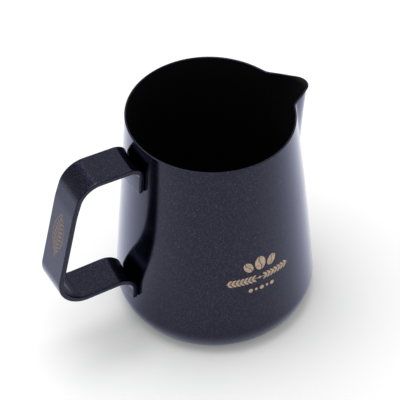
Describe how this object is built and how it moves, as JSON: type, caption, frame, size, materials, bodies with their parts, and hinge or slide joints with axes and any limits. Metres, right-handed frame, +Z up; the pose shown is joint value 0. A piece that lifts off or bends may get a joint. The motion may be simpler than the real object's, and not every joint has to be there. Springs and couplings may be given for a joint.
{
  "type": "milk frothing pitcher",
  "caption": "Black-coated steel milk frothing pitcher with a tapered drawn body, a pressed V spout and a bent flat-strip handle.",
  "frame": {"origin": "centre of the base's underside, on the body's axis", "axes": "+X towards the spout, -X towards the handle, +Z up out of the mouth, +Y to the left when looking along +X"},
  "size_m": [0.1346, 0.0936, 0.1113],
  "materials": {
    "black_coating": "satin black non-stick or powder coat with a fine mineral speckle, inside and out",
    "bare_steel": "bare stainless steel, brushed, slightly warm; used for weld nuggets and laser-etched marks"
  },
  "bodies": {
    "root": {"pitcher_body": "black_coating", "handle_strap": "black_coating", "upper_weld_left": "bare_steel", "upper_weld_right": "bare_steel", "lower_weld_left": "bare_steel", "lower_weld_right": "bare_steel"}
  },
  "joints": []
}
